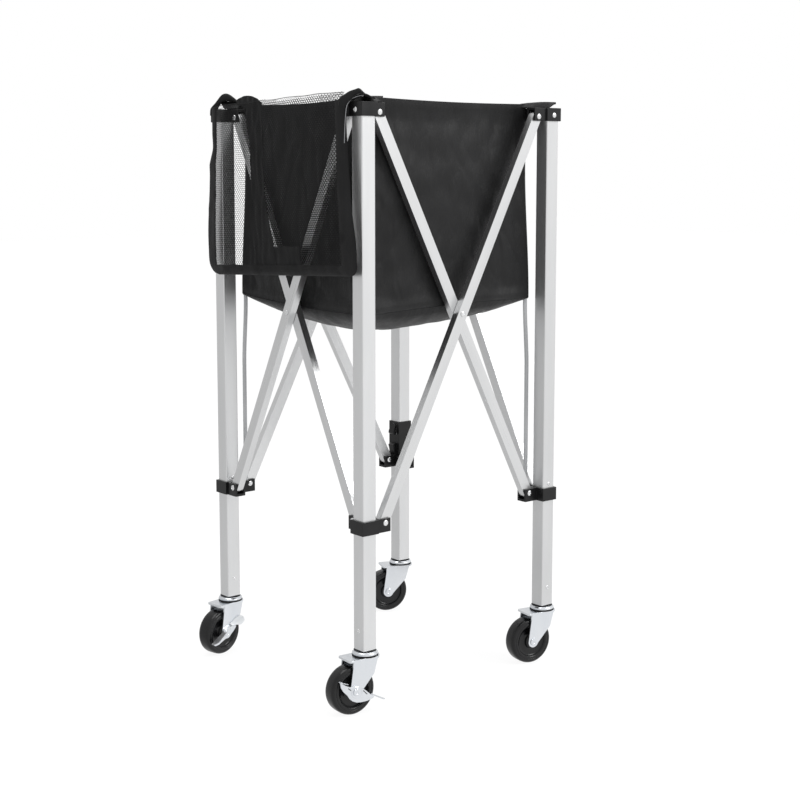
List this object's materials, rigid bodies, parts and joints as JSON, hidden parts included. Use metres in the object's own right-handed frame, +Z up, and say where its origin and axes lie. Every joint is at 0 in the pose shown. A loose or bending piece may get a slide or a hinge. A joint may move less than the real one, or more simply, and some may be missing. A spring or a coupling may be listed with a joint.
{
  "type": "ball cart",
  "caption": "Folding ball cart: square bright tube legs joined by scissor bars, a deep black cloth bag, a net side pocket and swivel casters with foot brakes.",
  "frame": {"origin": "On the floor, under the middle of the box round the whole cart at rest.", "axes": "+Z up. +X runs along the right front side from the front leg to the right leg, +Y along the left front side from the front leg to the left leg."},
  "size_m": [0.4656, 0.4428, 0.9491],
  "materials": {
    "bright_tube": "satin bright drawn aluminium",
    "black_plastic": "moulded nylon, faint sheen",
    "zinc": "bright zinc plate",
    "wheel_black": "moulded wheel, satin",
    "bag_cloth": "woven nylon, dull",
    "net": "fine black net",
    "elastic": "pale ribbed elastic cord"
  },
  "bodies": {
    "frame_front": {"leg_front": "bright_tube", "top_bracket_front": "black_plastic", "leg_plug_front": "black_plastic", "caster_stem_front": "zinc", "bag_panel_right_front": "bag_cloth", "bag_panel_left_front": "bag_cloth", "pocket": "net", "pocket_hanger_front": "bag_cloth"},
    "frame_right": {"leg_right": "bright_tube", "top_bracket_right": "black_plastic", "leg_plug_right": "black_plastic", "caster_stem_right": "zinc", "bag_panel_right_back": "bag_cloth"},
    "frame_back": {"leg_back": "bright_tube", "top_bracket_back": "black_plastic", "leg_plug_back": "black_plastic", "caster_stem_back": "zinc"},
    "frame_left": {"leg_left": "bright_tube", "top_bracket_left": "black_plastic", "leg_plug_left": "black_plastic", "caster_stem_left": "zinc", "bag_panel_left_back": "bag_cloth", "pocket_hanger_left": "bag_cloth"},
    "slide_front": {"slider_front": "black_plastic", "bag_cord_front": "elastic"},
    "swivel_front": {"caster_yoke_front": "zinc", "axle_front": "zinc"},
    "wheel_front": {"wheel_front": "wheel_black"},
    "slide_right": {"slider_right": "black_plastic", "bag_cord_right": "elastic"},
    "swivel_right": {"caster_yoke_right": "zinc", "axle_right": "zinc"},
    "wheel_right": {"wheel_right": "wheel_black"},
    "slide_back": {"slider_back": "black_plastic"},
    "swivel_back": {"caster_yoke_back": "zinc", "axle_back": "zinc"},
    "wheel_back": {"wheel_back": "wheel_black"},
    "slide_left": {"slider_left": "black_plastic", "bag_cord_left": "elastic"},
    "swivel_left": {"caster_yoke_left": "zinc", "axle_left": "zinc"},
    "wheel_left": {"wheel_left": "wheel_black"},
    "inner_right_front": {"inner_bar_right_front": "bright_tube", "crossing_rivet_right_front": "zinc"},
    "outer_right_front": {"outer_bar_right_front": "bright_tube"},
    "inner_right_back": {"inner_bar_right_back": "bright_tube", "crossing_rivet_right_back": "zinc"},
    "outer_right_back": {"outer_bar_right_back": "bright_tube"},
    "inner_left_back": {"inner_bar_left_back": "bright_tube", "crossing_rivet_left_back": "zinc"},
    "outer_left_back": {"outer_bar_left_back": "bright_tube"},
    "inner_left_front": {"inner_bar_left_front": "bright_tube", "crossing_rivet_left_front": "zinc"},
    "outer_left_front": {"outer_bar_left_front": "bright_tube"},
    "brake_front": {"brake_lever_front": "zinc"},
    "brake_left": {"brake_lever_left": "zinc"},
    "latch": {"latch_button": "black_plastic"},
    "bottom_front": {"bag_bottom_front": "bag_cloth"},
    "bottom_back": {"bag_bottom_back": "bag_cloth"}
  },
  "joints": [
    {"name": "fold", "type": "hinge", "parent": "frame_front", "child": "inner_right_front", "pos_m": [-0.13523, -0.18113, 0.905], "axis": [0, 1, 0], "range_deg": [0, 24], "deforming": ["bag_panel_right_front", "bag_panel_left_front", "bag_panel_right_back", "bag_panel_left_back", "bag_bottom_front", "bag_bottom_back", "pocket"]},
    {"name": "cross_right_front", "type": "hinge", "parent": "inner_right_front", "child": "outer_right_front", "pos_m": [0.02227, -0.18738, 0.597], "axis": [0, 1, 0], "range_deg": [-48, 0]},
    {"name": "top_right", "type": "hinge", "parent": "outer_right_front", "child": "frame_right", "pos_m": [0.17977, -0.19364, 0.905], "axis": [0, 1, 0], "range_deg": [0, 24]},
    {"name": "slide_right", "type": "hinge", "parent": "inner_right_front", "child": "slide_right", "pos_m": [0.17977, -0.18113, 0.289], "axis": [0, 1, 0], "range_deg": [-24, 0]},
    {"name": "slide_front", "type": "hinge", "parent": "outer_right_front", "child": "slide_front", "pos_m": [-0.13523, -0.19364, 0.289], "axis": [0, 1, 0], "range_deg": [0, 24]},
    {"name": "top_front", "type": "hinge", "parent": "frame_front", "child": "outer_left_front", "pos_m": [-0.16898, -0.15988, 0.905], "axis": [1, 0, 0], "range_deg": [-24, 0]},
    {"name": "cross_left_front", "type": "hinge", "parent": "outer_left_front", "child": "inner_left_front", "pos_m": [-0.16273, -0.00238, 0.597], "axis": [1, 0, 0], "range_deg": [0, 48]},
    {"name": "top_left", "type": "hinge", "parent": "inner_left_front", "child": "frame_left", "pos_m": [-0.15648, 0.15512, 0.905], "axis": [1, 0, 0], "range_deg": [-24, 0]},
    {"name": "slide_left", "type": "hinge", "parent": "outer_left_front", "child": "slide_left", "pos_m": [-0.16898, 0.15512, 0.289], "axis": [1, 0, 0], "range_deg": [0, 24]},
    {"name": "top_right_back", "type": "hinge", "parent": "frame_right", "child": "inner_right_back", "pos_m": [0.20102, -0.15988, 0.905], "axis": [-1, 0, 0], "range_deg": [0, 24]},
    {"name": "cross_right_back", "type": "hinge", "parent": "inner_right_back", "child": "outer_right_back", "pos_m": [0.20727, -0.00238, 0.597], "axis": [-1, 0, 0], "range_deg": [-48, 0]},
    {"name": "top_back", "type": "hinge", "parent": "outer_right_back", "child": "frame_back", "pos_m": [0.21352, 0.15512, 0.905], "axis": [-1, 0, 0], "range_deg": [0, 24]},
    {"name": "slide_back", "type": "hinge", "parent": "inner_right_back", "child": "slide_back", "pos_m": [0.20102, 0.15512, 0.289], "axis": [-1, 0, 0], "range_deg": [-24, 0]},
    {"name": "top_left_back", "type": "hinge", "parent": "frame_left", "child": "outer_left_back", "pos_m": [-0.13523, 0.18887, 0.905], "axis": [0, -1, 0], "range_deg": [-24, 0]},
    {"name": "cross_left_back", "type": "hinge", "parent": "outer_left_back", "child": "inner_left_back", "pos_m": [0.02227, 0.18261, 0.597], "axis": [0, -1, 0], "range_deg": [0, 48]},
    {"name": "bottom_front", "type": "hinge", "parent": "frame_front", "child": "bottom_front", "pos_m": [0.02227, -0.16878, 0.587], "axis": [1, 0, 0], "range_deg": [0, 80.4]},
    {"name": "bottom_back", "type": "hinge", "parent": "frame_left", "child": "bottom_back", "pos_m": [0.02227, 0.16401, 0.587], "axis": [1, 0, 0], "range_deg": [-80.4, 0]},
    {"name": "swivel_front", "type": "hinge", "parent": "frame_front", "child": "swivel_front", "pos_m": [-0.16623, -0.19088, 0.09], "axis": [0, 0, 1], "continuous": true},
    {"name": "wheel_front", "type": "hinge", "parent": "swivel_front", "child": "wheel_front", "pos_m": [-0.19412, -0.18844, 0.038], "axis": [-0.0872, -0.9962, 0], "continuous": true},
    {"name": "brake_front", "type": "hinge", "parent": "swivel_front", "child": "brake_front", "pos_m": [-0.19412, -0.18844, 0.038], "axis": [-0.0872, -0.9962, 0], "range_deg": [0, 53]},
    {"name": "swivel_right", "type": "hinge", "parent": "frame_right", "child": "swivel_right", "pos_m": [0.21077, -0.19088, 0.09], "axis": [0, 0, 1], "continuous": true},
    {"name": "wheel_right", "type": "hinge", "parent": "swivel_right", "child": "wheel_right", "pos_m": [0.18319, -0.18602, 0.038], "axis": [-0.1736, -0.9848, 0], "continuous": true},
    {"name": "swivel_back", "type": "hinge", "parent": "frame_back", "child": "swivel_back", "pos_m": [0.21077, 0.18612, 0.09], "axis": [0, 0, 1], "continuous": true},
    {"name": "wheel_back", "type": "hinge", "parent": "swivel_back", "child": "wheel_back", "pos_m": [0.18481, 0.1966, 0.038], "axis": [-0.3746, -0.9272, 0], "continuous": true},
    {"name": "swivel_left", "type": "hinge", "parent": "frame_left", "child": "swivel_left", "pos_m": [-0.16623, 0.18612, 0.09], "axis": [0, 0, 1], "continuous": true},
    {"name": "wheel_left", "type": "hinge", "parent": "swivel_left", "child": "wheel_left", "pos_m": [-0.19362, 0.18029, 0.038], "axis": [0.2079, -0.9781, 0], "continuous": true},
    {"name": "brake_left", "type": "hinge", "parent": "swivel_left", "child": "brake_left", "pos_m": [-0.19362, 0.18029, 0.038], "axis": [0.2079, -0.9781, 0], "range_deg": [-53, 0]},
    {"name": "latch", "type": "hinge", "parent": "slide_back", "child": "latch", "pos_m": [0.19737, 0.18612, 0.353], "axis": [0, -1, 0], "range_deg": [0, 5], "stiffness_Nm_per_rad": 0.05, "springref_deg": -5.16}
  ],
  "couplings": [
    {"joint": "cross_right_front", "follows": "fold", "ratio": -2},
    {"joint": "top_right", "follows": "fold", "ratio": 1},
    {"joint": "slide_right", "follows": "fold", "ratio": -1},
    {"joint": "slide_front", "follows": "fold", "ratio": 1},
    {"joint": "top_front", "follows": "fold", "ratio": -1},
    {"joint": "cross_left_front", "follows": "fold", "ratio": 2},
    {"joint": "top_left", "follows": "fold", "ratio": -1},
    {"joint": "slide_left", "follows": "fold", "ratio": 1},
    {"joint": "top_right_back", "follows": "fold", "ratio": 1},
    {"joint": "cross_right_back", "follows": "fold", "ratio": -2},
    {"joint": "top_back", "follows": "fold", "ratio": 1},
    {"joint": "slide_back", "follows": "fold", "ratio": -1},
    {"joint": "top_left_back", "follows": "fold", "ratio": -1},
    {"joint": "cross_left_back", "follows": "fold", "ratio": 2},
    {"joint": "bottom_front", "follows": "fold", "ratio": 3.35},
    {"joint": "bottom_back", "follows": "fold", "ratio": -3.35}
  ]
}
